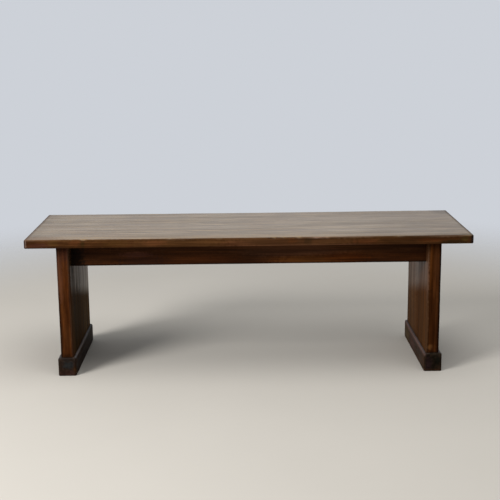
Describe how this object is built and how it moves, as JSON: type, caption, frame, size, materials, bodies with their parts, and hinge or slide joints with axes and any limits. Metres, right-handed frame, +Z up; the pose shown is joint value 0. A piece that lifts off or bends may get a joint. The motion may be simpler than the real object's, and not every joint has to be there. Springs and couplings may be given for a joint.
{
  "type": "backless bench",
  "caption": "Low backless bench: a plank seat overhangs slab ends that stand on dark shoe feet, with rails under the seat set back from its edges.",
  "frame": {"origin": "on the floor, under the middle of the seat", "axes": "+X along the seat, +Y from the front of the bench to its back, +Z up"},
  "size_m": [1.2, 0.38, 0.388],
  "materials": {
    "seat_wood": "worn dry, greyed brown, lengthwise grain",
    "end_wood": "old varnish, satin, upright grain",
    "rail_wood": "old varnish, satin, lengthwise grain",
    "foot_wood": "near black, scuffed",
    "inner_wood": "unfinished, dusty",
    "dowel_wood": "bare beech",
    "screw_steel": "dull, darkened"
  },
  "bodies": {
    "root": {"seat_front_board": "seat_wood", "seat_middle_board": "seat_wood", "seat_back_board": "seat_wood", "seat_edge_dowels": "dowel_wood", "left_end_panel": "end_wood", "right_end_panel": "end_wood", "end_panel_dowels": "dowel_wood", "left_foot": "foot_wood", "right_foot": "foot_wood", "foot_screws": "screw_steel", "front_rail": "rail_wood", "back_rail": "rail_wood", "front_rail_glue_blocks": "inner_wood", "back_rail_glue_blocks": "inner_wood", "left_seat_cleat": "inner_wood", "right_seat_cleat": "inner_wood", "cleat_screws": "screw_steel", "middle_batten": "inner_wood", "seat_screws": "screw_steel"}
  },
  "joints": []
}
